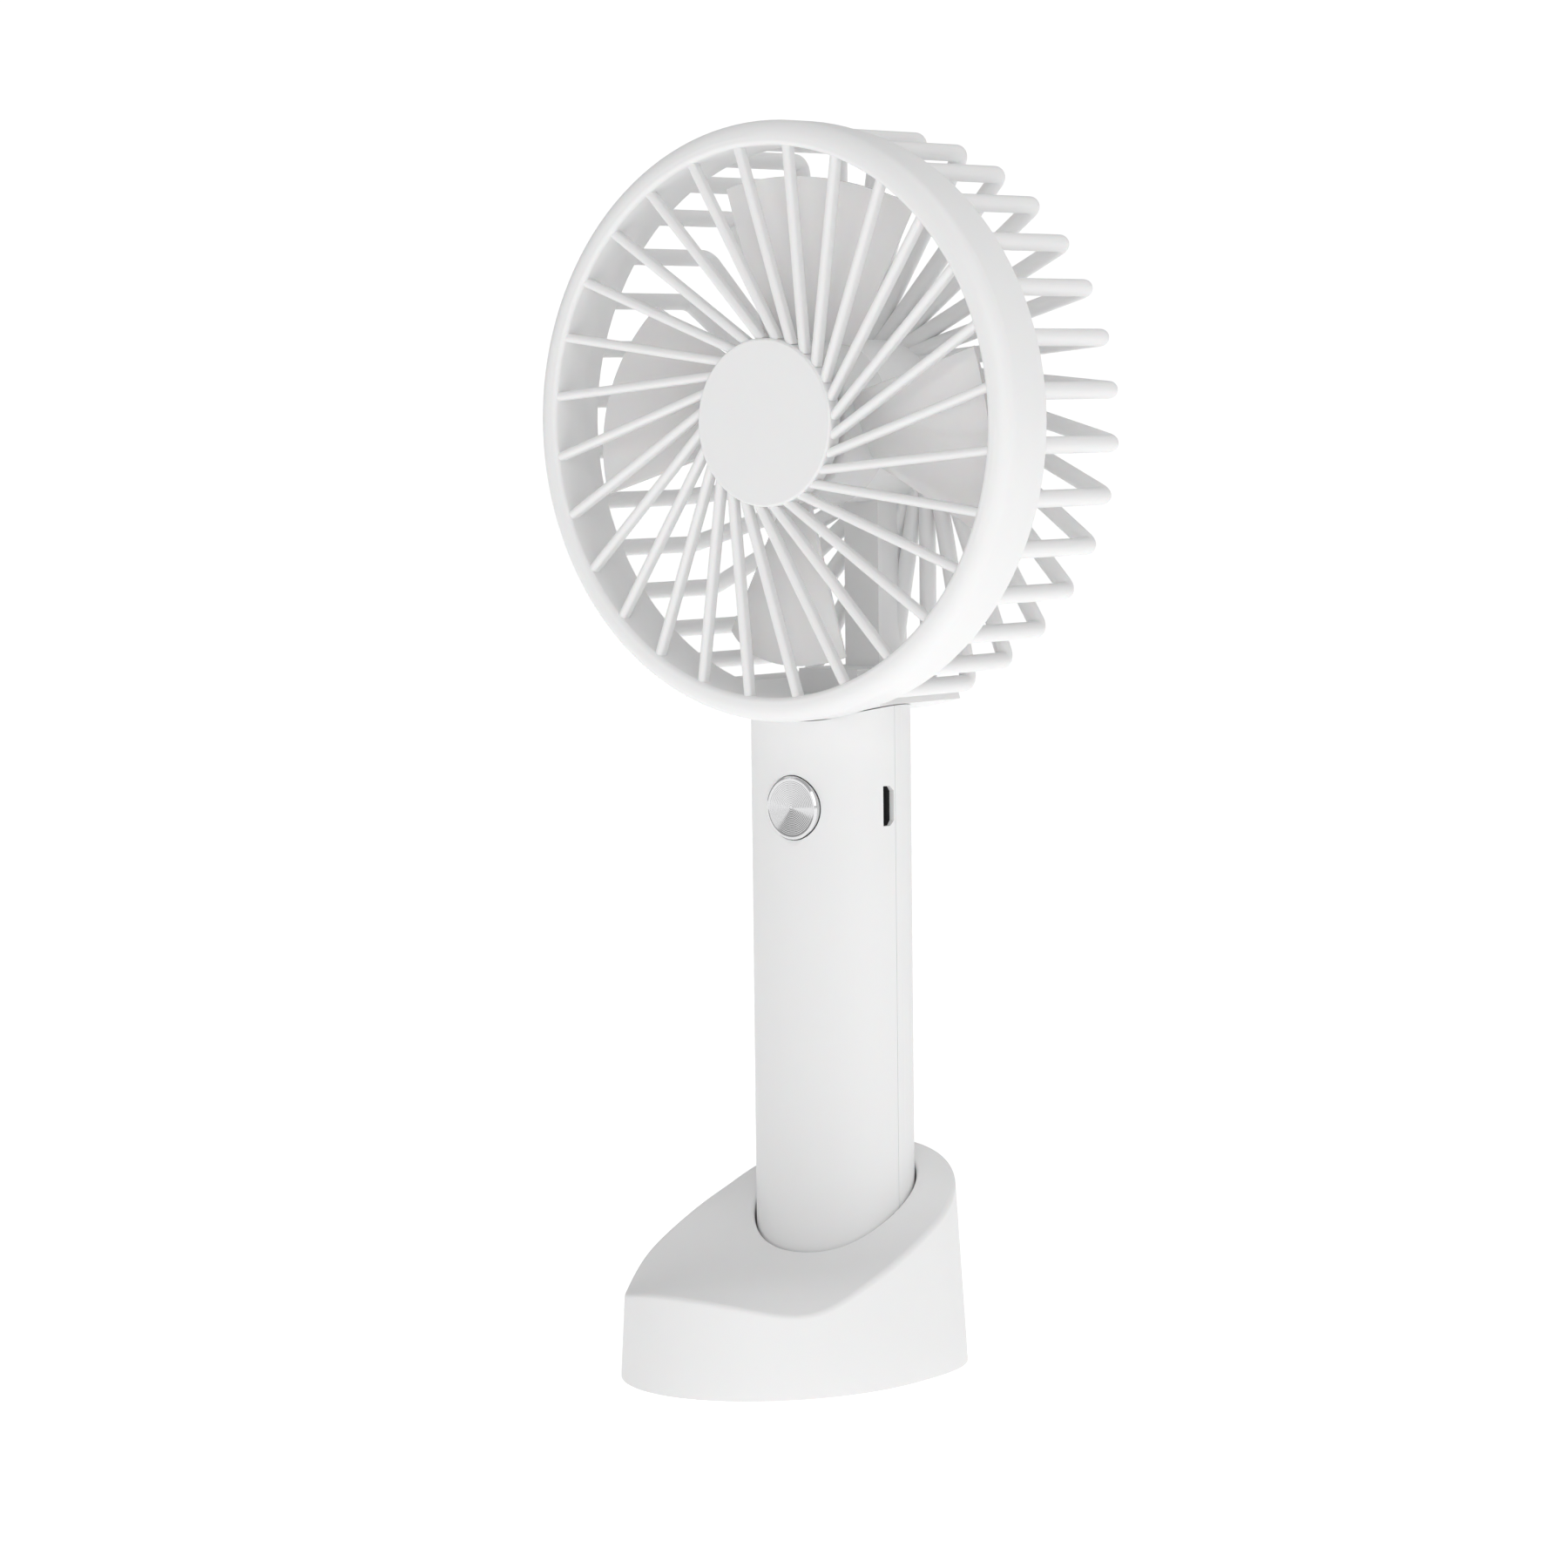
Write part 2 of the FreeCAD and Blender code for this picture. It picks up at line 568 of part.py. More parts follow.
def make_rotor():
    """What turns inside the motor: shaft, three-pole core, its coils and the commutator."""
    shaft = head_body("motor_shaft")
    turned(shaft, "rod", [("0", "hub_front + hub_wall + 0.6"),
                          ("shaft_radius", "hub_front + hub_wall + 0.6"),
                          ("shaft_radius", "bell_rear + 0.8"), ("0", "bell_rear + 0.8")])
    keep("motor_shaft", shaft)

    def ring(name, inner, outer, front, thick):
        return cut(name, drum(name + "_out", outer, thick, z=front), drum(name + "_in", inner, thick, z=front))

    def spaced(name, low, high):
        bars = []
        for i in range(3):
            bar = block("%s_%d" % (name, i), low, high)
            holder = doc.addObject("Part::Compound", "%s_turn_%d" % (name, i))
            holder.Links = [bar]
            holder.Placement = Placement(Vector(), Rotation(Vector(0, 0, 1), 30 + 120 * i))
            bars.append(holder)
        return bars

    front = "can_front + 2.4"
    centre = ring("core_centre", "shaft_radius", "3.4", front, "5")
    shoes = ring("core_shoes", "8.2", "core_radius", front, "5")
    poles = spaced("core_pole", ("3", "-1.6", front), ("8.6", "1.6", front + " + 5"))
    gaps = []
    for i in range(3):
        gap = block("core_gap_%d" % i, ("7", "-0.8", front + " - 1"), ("11", "0.8", front + " + 6"))
        holder = doc.addObject("Part::Compound", "core_gap_turn_%d" % i)
        holder.Links = [gap]
        holder.Placement = Placement(Vector(), Rotation(Vector(0, 0, 1), 90 + 120 * i))
        gaps.append(holder)
    core = cut("core_solid", joined("core_sum", centre, shoes, *poles), *gaps)
    place(core, "0", "-ring_setback", "head_height", HEAD_TURN)
    keep("rotor_core", core)

    coils = []
    for i in range(3):
        outer = block("coil_%d_outer" % i, ("4", "-2.9", front + " - 0.7"), ("7.5", "2.9", front + " + 5.7"))
        inner = block("coil_%d_inner" % i, ("3", "-1.65", front + " - 0.05"), ("9", "1.65", front + " + 5.05"))
        coil = cut("coil_%d" % i, outer, inner)
        place(coil, "0", "-ring_setback", "head_height",
              HEAD_TURN * Rotation(Vector(0, 0, 1), 30 + 120 * i))
        coils.append(coil)
    keep("rotor_windings", group("coil_set", *coils))

    switch = head_body("commutator")
    turned(switch, "barrel", [("shaft_radius", "can_front + 8.2"), ("2.1", "can_front + 8.2"),
                              ("2.1", "can_front + 9.8"), ("shaft_radius", "can_front + 9.8")])
    keep("commutator", switch)


# ================================================================ handle
def make_handle():
    """Two oval shells that meet along the sides, with bosses, button hole and port opening."""
    low, top = "handle_low", "handle_top"
    outer = oval("handle_outer", "handle_half", "handle_depth", low, top)
    doc.recompute()
    foot_edges = [i + 1 for i, e in enumerate(outer.Shape.Edges)
                  if abs(e.BoundBox.ZMax - mm(low)) < 0.01]
    rounded = doc.addObject("Part::Fillet", "handle_outer_round")
    rounded.Base = outer
    rounded.Edges = [(i, mm("handle_round"), mm("handle_round")) for i in foot_edges]
    inner = oval("handle_inner", "handle_half - handle_wall", "handle_depth - handle_wall",
                 "handle_low + handle_floor", top)
    around_hoop = drum("hoop_room", "hoop_outer + head_clear", "60", "0", "-ring_setback - 5",
                       "head_height", "Y")
    around_ring = drum("ring_room", "ring_radius + head_clear", "ring_depth + head_clear + 5", "0",
                       "-ring_setback - 5", "head_height", "Y")
    tube = cut("handle_tube", rounded, inner, around_hoop, around_ring)
    solid_oval = cut("handle_solid", oval("handle_body", "handle_half", "handle_depth", low, top),
                     around_hoop, around_ring)
    button_y = "-handle_depth - 2"

    # front shell
    front_half = block("front_half", ("-20", "-20", "0"), ("20", "seam - seam_gap / 2", "head_height"))
    collar = shared("collar", solid_oval, drum("collar_bar", "collar_radius",
                    "handle_depth - collar_back + 2", "0", button_y, "button_height", "Y"))
    screw_bosses = []
    for name, height, reach in (("top", "top_screw_z", "handle_depth - plug_round - seat_gap"),
                                ("low", "low_screw_z", "handle_depth + seam - seam_gap / 2")):
        bar = drum(name + "_boss_bar", "boss_radius", reach, "0", "-handle_depth", height, "Y")
        screw_bosses.append(shared(name + "_boss", solid_oval, bar))
    front_sum = joined("front_sum", shared("front_part", tube, front_half), collar, *screw_bosses)
    holes = [
        drum("button_hole", "button_radius + button_clear", "10", "0", button_y, "button_height", "Y"),
        drum("top_pilot", "screw_radius", "handle_depth - 2", "0", "2 - handle_depth", "top_screw_z", "Y"),
        drum("low_pilot", "screw_radius", "handle_depth - 2", "0", "2 - handle_depth", "low_screw_z", "Y"),
        port_opening(),
        block("socket_room", ("board_right - 1", "-4.75", "port_height - 4.1"),
              ("socket_mouth + 0.1", "seam + 2", "port_height + 4.1")),
        dish(),
    ]
    keep("handle_front_shell", cut("front_shell", front_sum, *holes))

    # rear shell
    rear_half = block("rear_half", ("-20", "seam + seam_gap / 2", "0"), ("20", "20", "head_height"))
    pieces = [shared("rear_part", tube, rear_half)]
    low_bar = drum("rear_low_bar", "boss_radius + 0.6", "handle_depth - seam - seam_gap / 2", "0",
                   "seam + seam_gap / 2", "low_screw_z", "Y")
    pieces.append(shared("rear_low_boss", solid_oval, low_bar))
    top_bar = drum("rear_top_bar", "boss_radius + 0.6", "handle_depth - plug_round - seat_gap", "0",
                   "plug_round + seat_gap", "top_screw_z", "Y")
    pieces.append(shared("rear_top_boss", solid_oval, top_bar))
    for side in ("-", ""):
        post = drum("post%s" % len(pieces), "post_radius", "handle_depth + board_back", side + "post_x",
                    "-board_back", "post_z", "Y")
        pieces.append(shared("post_%d" % len(pieces), solid_oval, post))
    rear_sum = joined("rear_sum", *pieces)
    ways = []
    for height in ("top_screw_z", "low_screw_z"):
        ways.append(drum("way_" + height, "screw_radius + bore_clear", "30", "0", "-10", height, "Y"))
        ways.append(drum("head_way_" + height, "screw_head + bore_clear", "6", "0", "handle_depth - 1.8",
                         height, "Y"))
    for side in ("-", ""):
        ways.append(drum("post_pilot%d" % len(ways), "0.6", "5", side + "post_x", "-board_back - 1",
                         "post_z", "Y"))
    keep("handle_rear_shell", cut("rear_shell", rear_sum, *ways))


def dish():
    """The shallow dish that the button sits in: a ball that just bites into the front."""
    radius, bite = 40.0, 0.55
    ball = doc.addObject("Part::Sphere", "button_dish")
    ball.Radius = radius
    return place(ball, "0", "-handle_depth - %s" % (radius - bite), "button_height")


def port_opening():
    """The way in to the charging socket: a slot with two slanted corners at the rear."""
    high, low = "port_height + port_half", "port_height - port_half"
    corners = [("-port_front", low), ("-port_front", high), ("-port_rear - 0.8", high),
               ("-port_rear", high + " - 0.9"), ("-port_rear", low + " + 0.9"), ("-port_rear - 0.8", low)]
    body = doc.addObject("PartDesign::Body", "port_cutter")
    sketch = sketch_on(body, "YZ_Plane", "opening", "socket_mouth - 1")
    outline(sketch, corners)
    raised(body, "bar", sketch, "6")
    return body


def screw(name, head_radius, head_thick, radius, length, x, y, z, facing):
    """A pan-head screw whose head's underside is at y and whose shank runs along facing Y."""
    turn = ALONG["Y"] if facing == "+Y" else Rotation(Vector(1, 0, 0), 90)
    if facing in ("+Z", "-Z"):
        turn = Rotation() if facing == "+Z" else Rotation(Vector(1, 0, 0), 180)
    body = doc.addObject("PartDesign::Body", name)
    turned(body, "turning", [("0", "-(%s)" % head_thick), (head_radius, "-(%s)" % head_thick),
                             (head_radius, "0"), (radius, "0"), (radius, length), ("0", length)])
    doc.recompute()
    softened(body, "head", "0.4", lambda e: isinstance(e.Curve, Part.Circle)
             and e.BoundBox.ZMax < -0.3 and e.Curve.Radius > mm("screw_radius"))
    cross = sketch_on(body, "XY_Plane", "cross", "-(%s)" % head_thick)
    outline(cross, [("-0.9", "-0.18"), ("0.9", "-0.18"), ("0.9", "0.18"), ("-0.9", "0.18")])
    slot = body.newObject("PartDesign::Pocket", name + "_slot")
    slot.Profile = cross
    slot.Reversed = True
    slot.Length = 0.5
    body.Tip = slot
    cross_b = sketch_on(body, "XY_Plane", "cross_b", "-(%s)" % head_thick)
    outline(cross_b, [("-0.18", "-0.9"), ("0.18", "-0.9"), ("0.18", "0.9"), ("-0.18", "0.9")])
    slot_b = body.newObject("PartDesign::Pocket", name + "_slot_b")
    slot_b.Profile = cross_b
    slot_b.Reversed = True
    slot_b.Length = 0.5
    body.Tip = slot_b
    return place(body, x, y, z, turn)


def make_handle_screws():
    """Two screws from the back close the handle; the upper one also holds the cage's plug."""
    pieces = []
    for name, height in (("top_screw", "top_screw_z"), ("low_screw", "low_screw_z")):
        pieces.append(screw(name, "screw_head", "1.2", "screw_radius - 0.02", "16", "0",
                            "handle_depth - 1.8", height, "-Y"))
    keep("handle_screws", group("handle_screw_pair", *pieces))


def make_button():
    """Metal button cap on a flanged plunger, and the switch stem that it presses."""
    def turned_y(label, corners):
        body = doc.addObject("PartDesign::Body", label)
        turned(body, "turning", corners)
        return place(body, "0", "0", "button_height", ALONG["Y"])

    cap = turned_y("button_cap", [("0", "-button_front"), ("button_radius", "-button_front"),
                                  ("button_radius", "button_thick - button_front"),
                                  ("0", "button_thick - button_front")])
    doc.recompute()
    softened(cap, "bevel", "0.3", lambda e: rim_edge(e, mm("button_radius"), -mm("button_front")))
    keep("button_cap", cap)
    back = "-collar_back + 0.1"
    plunger = turned_y("button_plunger", [
        ("0", "button_thick - button_front"), ("button_radius - 0.2", "button_thick - button_front"),
        ("button_radius - 0.2", back), ("flange_radius", back), ("flange_radius", back + " + flange_thick"),
        ("1.5", back + " + flange_thick"), ("1.5", "-stem_front"), ("0", "-stem_front")])
    keep("button_plunger", plunger)
    stem = turned_y("switch_stem", [("0", "-stem_front"), ("stem_radius", "-stem_front"),
                                    ("stem_radius", "-stem_back"), ("0", "-stem_back")])
    keep("switch_stem", stem)


def make_board():
    """Circuit board with the switch body, charging socket, chips, inductor and capacitors."""
    plate = block("board_plate", ("board_left", "-board_front", "board_low"),
                  ("board_right", "-board_back", "board_high"))
    holes = [drum("board_hole_%d" % i, "0.8", "4", side + "post_x", "-board_front - 1", "post_z", "Y")
             for i, side in enumerate(("-", ""))]
    keep("circuit_board", cut("board_solid", plate, *holes))
    screws = [screw("board_screw_%d" % i, "1.4", "0.9", "0.58", "3.6", side + "post_x",
                    "-board_front", "post_z", "+Y") for i, side in enumerate(("-", ""))]
    keep("board_screws", group("board_screw_pair", *screws))

    case = block("switch_case", ("-switch_half", "-switch_front", "button_height - switch_half"),
                 ("switch_half", "-board_front", "button_height + switch_half"))
    well = drum("switch_well", "stem_radius + 0.05", "2.6", "0", "-switch_front - 0.5", "button_height", "Y")
    keep("switch_body", cut("switch_solid", case, well))

    y_low, y_high = "-board_front - 2.5", "-board_front"
    shell = block("socket_outer", ("socket_mouth - 5.3", y_low, "port_height - 3.8"),
                  ("socket_mouth", y_high, "port_height + 3.8"))
    room = block("socket_inner", ("socket_mouth - 5", y_low + " + 0.3", "port_height - 3.45"),
                 ("socket_mouth + 1", y_high + " - 0.3", "port_height + 3.45"))
    keep("usb_socket", cut("socket_solid", shell, room))
    keep("usb_tongue", block("tongue_solid", ("socket_mouth - 5", y_high + " - 1.5", "port_height - 2.3"),
                             ("socket_mouth - 1.1", y_high + " - 0.85", "port_height + 2.3")))

    chips = []
    for i, (x, z, wide, tall) in enumerate(((-8.2, 96.5, 3.9, 4.9), (-8.2, 101.0, 3.0, 2.8))):
        chips.append(block("chip_%d" % i, ("%s" % (x - wide / 2), "-board_front - 1.4", "%s" % (z - tall / 2)),
                           ("%s" % (x + wide / 2), "-board_front", "%s" % (z + tall / 2))))
    keep("controller_chips", group("chip_set", *chips))
    keep("board_inductor", drum("inductor_solid", "2.6", "3", "-5.5", "-board_back", "97.5", "Y"))
    capacitors = []
    for i, z in enumerate((92.5, 95.5, 98.5)):
        capacitors.append(block("capacitor_%d" % i, ("4.6", "-board_back", "%s" % z),
                                ("7.6", "-board_back + 1.3", "%s" % (z + 1.6))))
    keep("board_capacitors", group("capacitor_set", *capacitors))


def make_battery():
    """Cylindrical lithium cell with nickel tabs and a foam pad under it."""
    cell = doc.addObject("PartDesign::Body", "battery_cell")
    turned(cell, "jacket", [("0", "0"), ("cell_radius", "0"), ("cell_radius", "cell_length"),
                            ("nub_radius", "cell_length"), ("nub_radius", "cell_length + nub_rise"),
                            ("0", "cell_length + nub_rise")])
    doc.recompute()
    softened(cell, "ends", "0.7", lambda e: rim_edge(e, mm("cell_radius"), 0)
             or rim_edge(e, mm("cell_radius"), mm("cell_length")))
    place(cell, "0", "0", "cell_low")
    keep("battery_cell", cell)
    top = "cell_low + cell_length + nub_rise"
    tabs = [block("tab_low", ("-3", "-3", "cell_low - 0.2"), ("3", "3", "cell_low")),
            block("tab_top", ("-3", "-3", top), ("3", "3", top + " + 0.2"))]
    keep("battery_tabs", group("battery_tab_pair", *tabs))
    pad = drum("pad_disc", "8.4", "3.4", "0", "0", "cell_low - 3.6")
    groove = block("pad_groove", ("1.7", "-0.4", "cell_low - 1.8"), ("9", "1.8", "cell_low"))
    keep("battery_pad", cut("pad_solid", pad, groove))


# ================================================================ wires
def wire_tube(name, points, radius):
    """A round wire along straight runs joined by tangent arcs; prints its bend radii."""
    runs = [(b - a).Length for a, b in zip(points, points[1:])]
    edges = []
    start = points[0]
    radii = []
    for i in range(1, len(points) - 1):
        into = (points[i] - points[i - 1]).normalize()
        out = (points[i + 1] - points[i]).normalize()
        turn = into.getAngle(out)
        setback = 0.45 * min(runs[i - 1], runs[i])
        bend = setback / math.tan(turn / 2)
        radii.append(round(bend, 1))
        a = points[i] - into * setback
        b = points[i] + out * setback
        middle = points[i] + (out - into).normalize() * (bend / math.cos(turn / 2) - bend)
        edges.append(Part.LineSegment(start, a).toShape())
        edges.append(Part.Arc(a, middle, b).toShape())
        start = b
    edges.append(Part.LineSegment(start, points[-1]).toShape())
    path = Part.Wire(edges)
    rim = Part.Wire([Part.Circle(points[0], points[1] - points[0], radius).toShape()])
    tube = path.makePipeShell([rim], True, True)
    if abs(tube.Volume / (math.pi * radius ** 2 * path.Length) - 1) > 0.02:
        raise ValueError(name + " is not a clean tube")
    print(name, "length", round(path.Length, 1), "bend radii", radii)
    return solid_feature(name + "_solid", tube)


WIRE_RADIUS = 0.6


def make_wires():
    """Two motor wires down the column and foot, and two battery wires up to the board."""
    back = mm("bell_rear") - mm("ring_setback") + 0.4 + WIRE_RADIUS
    head = mm("head_height")
    board = -mm("board_back") + WIRE_RADIUS
    for node, side in (("motor_wire_red", 1), ("motor_wire_black", -1)):
        points = [Vector(1.5 * side, back, head - 7.2), Vector(1.35 * side, back + 0.1, head - 12),
                  Vector(1.3 * side, back - 0.6, head - 24), Vector(1.35 * side, back - 0.7, head - 36),
                  Vector(1.6 * side, 12.8, head - 43.5), Vector(2.2 * side, 10.2, head - 46.9),
                  Vector(2.8 * side, 5.1, head - 47.7), Vector(3.1 * side, 2.4, head - 50.3),
                  Vector(3.3 * side, 2.2, head - 54.5),
                  Vector(3.0 * side, 1.0, head - 60), Vector(2.6 * side, board, head - 64.5),
                  Vector(2.5 * side, board, head - 67.5)]
        keep(node, wire_tube(node, points, WIRE_RADIUS))
    top = mm("cell_low") + mm("cell_length") + mm("nub_rise") + 0.2
    red = [Vector(0.5, 0.3, top + WIRE_RADIUS), Vector(-3.8, 1.6, top + WIRE_RADIUS + 0.1),
           Vector(-6.2, 2.2, top + 4.7), Vector(-5.2, 0.6, top + 8.4), Vector(-4.6, board, top + 10.0)]
    keep("battery_wire_red", wire_tube("battery_wire_red", red, WIRE_RADIUS))
    low = mm("cell_low") - 0.2 - WIRE_RADIUS
    black = [Vector(2.4, 0.4, low), Vector(5.9, 0.7, low - 0.2), Vector(9.2, 0.9, low - 0.05),
             Vector(11.4, 1.1, low + 2.1), Vector(12.2, 1.3, low + 5.6), Vector(12.1, 1.6, low + 12.5),
             Vector(12.2, 1.4, low + 26.0), Vector(12.1, 1.6, low + 40.0), Vector(12.2, 1.5, low + 54.0),
             Vector(11.9, 1.6, low + 61.0), Vector(10.6, 1.9, low + 65.4), Vector(8.2, 2.0, low + 69.0),
             Vector(5.0, 1.2, low + 72.0), Vector(3.5, board, low + 75.0), Vector(3.3, board, low + 77.3)]
    keep("battery_wire_black", wire_tube("battery_wire_black", black, WIRE_RADIUS))


# ================================================================ dock
def dock_plan(inset, height):
    """Closed outline of the dock at one height: elliptical in front, squarer behind."""
    shrink = inset + math.tan(math.radians(mm("dock_draft"))) * height
    half = mm("dock_half") - shrink
    centre = mm("dock_wide_y")
    points = []
    steps = 32
    for i in range(steps):
        angle = math.tau * i / steps
        c, s = math.cos(angle), math.sin(angle)
        reach = (mm("dock_front") if s < 0 else mm("dock_rear")) - shrink
        power = 1.0 if s < 0 else 2.0 / 2.8
        points.append(Vector(half * math.copysign(abs(c) ** power, c),
                             centre + reach * math.copysign(abs(s) ** power, s), height))
    curve = Part.BSplineCurve()
    curve.interpolate(points, PeriodicFlag=True)
    return Part.Wire([curve.toShape()])


def dock_block(inset, low, high):
    """A solid of the dock's plan with its drafted walls."""
    return Part.makeLoft([dock_plan(inset, low), dock_plan(inset, high)], True, False)


# the dock's top, from front to back: y, height on the middle line, half width at which
# the crease runs, and height there
DOCK_TOP = (
    (-60.0, 16.6, 21.0, 12.6),
    (-46.6, 17.4, 21.0, 13.2),
    (-36.0, 18.1, 21.0, 13.7),
    (-25.4, 18.5, 24.3, 17.8),
    (-17.0, 19.0, 25.4, 21.6),
    (-10.0, 21.5, 25.6, 24.6),
    (-5.0, 26.0, 25.5, 26.6),
    (0.0, 31.0, 25.2, 28.5),
    (5.0, 34.6, 23.4, 31.1),
    (10.0, 36.8, 22.0, 33.2),
    (17.0, 38.0, 21.0, 35.6),
    (30.0, 38.6, 21.0, 37.0),
)


def under_top(drop):
    """Everything below the dock's top, lowered by drop. Each crosswise section is a parabola."""
    reach = 34.0
    stations = [row[0] for row in DOCK_TOP]
    rows = []
    for side in (-1, 0, 1):
        points = []
        for y, middle, half, edge in DOCK_TOP:
            rise = (edge - middle) * (reach / half) ** 2
            points.append(Vector(side * reach, y, middle - drop + (rise if side else -rise)))
        curve = Part.BSplineCurve()
        curve.interpolate(Points=points, Parameters=stations)
        rows.append(curve)
    surface = Part.BSplineSurface()
    surface.buildFromPolesMultsKnots([row.getPoles() for row in rows], [3, 3], rows[0].getMultiplicities(),
                                     [0.0, 1.0], rows[0].getKnots(), False, False, 2, rows[0].Degree)
    return surface.toShape().extrude(Vector(0, 0, -80))


def make_dock():
    """Dock shell with the handle's socket, its base plate, three screws and the foot pad."""
    rim = mm("dock_rim")
    wall = mm("dock_wall")
    outer = dock_block(0, rim, 60).common(under_top(0))
    room = dock_block(wall, -1, 58).common(under_top(wall))
    half, depth = mm("handle_half") + mm("socket_clear"), mm("handle_depth") + mm("socket_clear")

    def bar(half_x, half_y, low, high):
        edge = Part.Ellipse(Vector(0, 0, low), half_x, half_y).toShape()
        return Part.Face(Part.Wire([edge])).extrude(Vector(0, 0, high - low))

    plate_top = mm("pad_thick") + mm("plate_thick")
    side = mm("socket_wall")
    tower = bar(half + side, depth + side, plate_top + 0.1, 60).common(under_top(0.5))
    shell = outer.cut(room).fuse(tower.common(dock_block(0.5, rim, 60)))
    screw_places = ((0.0, -38.0), (20.3, -15.0), (-20.3, -15.0))
    for x, y in screw_places:
        boss = Part.makeCylinder(2.8, 40, Vector(x, y, plate_top + 0.1))
        shell = shell.fuse(boss.common(under_top(1.0)))
    shell = shell.cut(bar(half, depth, mm("socket_floor"), 60))
    for x, y in screw_places:
        shell = shell.cut(Part.makeCylinder(0.95, 9, Vector(x, y, plate_top - 0.1)))
    shell = shell.removeSplitter()
    shell = round_dock_edge(shell)
    keep("dock_shell", solid_feature("dock_shell_solid", shell))

    plate = dock_block(wall + 0.15, mm("pad_thick"), plate_top)
    for x, y in screw_places:
        plate = plate.cut(Part.makeCylinder(1.3, 4, Vector(x, y, 0)))
        plate = plate.cut(Part.makeCylinder(2.2, 0.9, Vector(x, y, mm("pad_thick"))))
    keep("dock_base_plate", solid_feature("dock_base_plate_solid", plate))

    pieces = []
    for i, (x, y) in enumerate(screw_places):
        pieces.append(screw("dock_screw_%d" % i, "2.0", "0.8", "0.93", "8", "%s" % x, "%s" % y,
                            "pad_thick + 0.9", "+Z"))
    keep("dock_screws", group("dock_screw_set", *pieces))
    keep("non_slip_pad", solid_feature("non_slip_pad_solid", dock_block(wall + 0.5, 0, mm("pad_thick"))))


def round_dock_edge(shell):
    """Soften the edge where the dock's top meets its wall, and the mouth of its socket."""
    mouth = 2 * (mm("handle_half") + mm("socket_clear"))
    for wide, radius in ((2 * mm("dock_half") - 3.5, mm("crease_round")), (mouth, mm("mouth_round"))):
        edges = []
        for edge in shell.Edges:
            box = edge.BoundBox
            fits = box.XLength > wide - 0.2 if wide > 40 else abs(box.XLength - wide) < 0.3
            if fits and box.ZMin > 10 and box.ZLength > 3:
                edges.append(edge)
        result = shell.makeFillet(radius, edges)
        if not result.isValid() or len(result.Solids) != 1:
            raise ValueError("the dock's edge can't be rounded by %s" % radius)
        shell = result
    return shell


make_front_grille()
make_rear_cage()
make_impeller()
make_motor()
make_rotor()
make_handle()
make_handle_screws()
make_button()
make_board()
make_battery()
make_wires()
make_dock()
doc.recompute()

failed = [thing.Label for thing in doc.Objects
          if "Invalid" in thing.State or "Error" in thing.State]
if failed:
    raise ValueError("failed objects: %s" % failed)
for node, thing in PARTS.items():
    shape = thing.Shape
    if shape.isNull() or not shape.isValid() or not shape.Solids:
        raise ValueError(node + " has a bad shape")
os.makedirs("parts", exist_ok=True)
for node, thing in PARTS.items():
    thing.Shape.exportStep("parts/%s.step" % node)
    print(node, len(thing.Shape.Solids), "solids", round(thing.Shape.Volume, 1), "mm3")
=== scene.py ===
"""Looks of a slim handheld fan that stands in its dock: finishes, button, floor, light and camera."""
import math

import bmesh
import bpy
from mathutils import Matrix, Vector


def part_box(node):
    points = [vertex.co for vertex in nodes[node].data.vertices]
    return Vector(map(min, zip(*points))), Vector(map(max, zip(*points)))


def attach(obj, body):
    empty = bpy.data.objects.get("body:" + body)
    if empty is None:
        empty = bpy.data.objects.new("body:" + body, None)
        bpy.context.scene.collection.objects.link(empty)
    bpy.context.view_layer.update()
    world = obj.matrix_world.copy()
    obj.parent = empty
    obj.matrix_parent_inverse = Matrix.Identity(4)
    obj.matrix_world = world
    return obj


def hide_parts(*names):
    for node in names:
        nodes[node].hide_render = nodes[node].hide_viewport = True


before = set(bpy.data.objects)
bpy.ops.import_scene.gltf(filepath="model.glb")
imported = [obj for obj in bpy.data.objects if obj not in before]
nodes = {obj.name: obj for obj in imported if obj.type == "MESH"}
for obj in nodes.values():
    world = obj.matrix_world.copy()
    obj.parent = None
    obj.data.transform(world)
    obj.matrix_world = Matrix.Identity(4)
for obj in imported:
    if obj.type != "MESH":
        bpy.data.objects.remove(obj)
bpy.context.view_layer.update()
MM = 0.001


# ---------------------------------------------------------------- colour and node helpers
def srgb(hex_code, alpha=1.0):
    """A hex colour as linear red, green, blue and alpha."""
    channels = []
    for i in (0, 2, 4):
        value = int(hex_code[i:i + 2], 16) / 255.0
        channels.append(value / 12.92 if value <= 0.04045 else ((value + 0.055) / 1.055) ** 2.4)
    return (*channels, alpha)


def add(material, kind, settings=None, inputs=None, links=None):
    """Add a node, set its properties and sockets, and link (node, output) pairs to its sockets."""
    tree = material.node_tree
    node = tree.nodes.new(kind)
    for key, value in (settings or {}).items():
        setattr(node, key, value)
    for key, value in (inputs or {}).items():
        node.inputs[key].default_value = value
    for key, (source, output) in (links or {}).items():
        tree.links.new(source.outputs[output], node.inputs[key])
    return node


def finish_named(name):
    """An empty material with its output node."""
    material = bpy.data.materials.new(name)
    material.use_nodes = True
    material.node_tree.nodes.clear()
    return material


def close(material, shader):
    """Send a shader to the material's output."""
    output = add(material, "ShaderNodeOutputMaterial")
    material.node_tree.links.new(shader.outputs[0], output.inputs["Surface"])
    return material


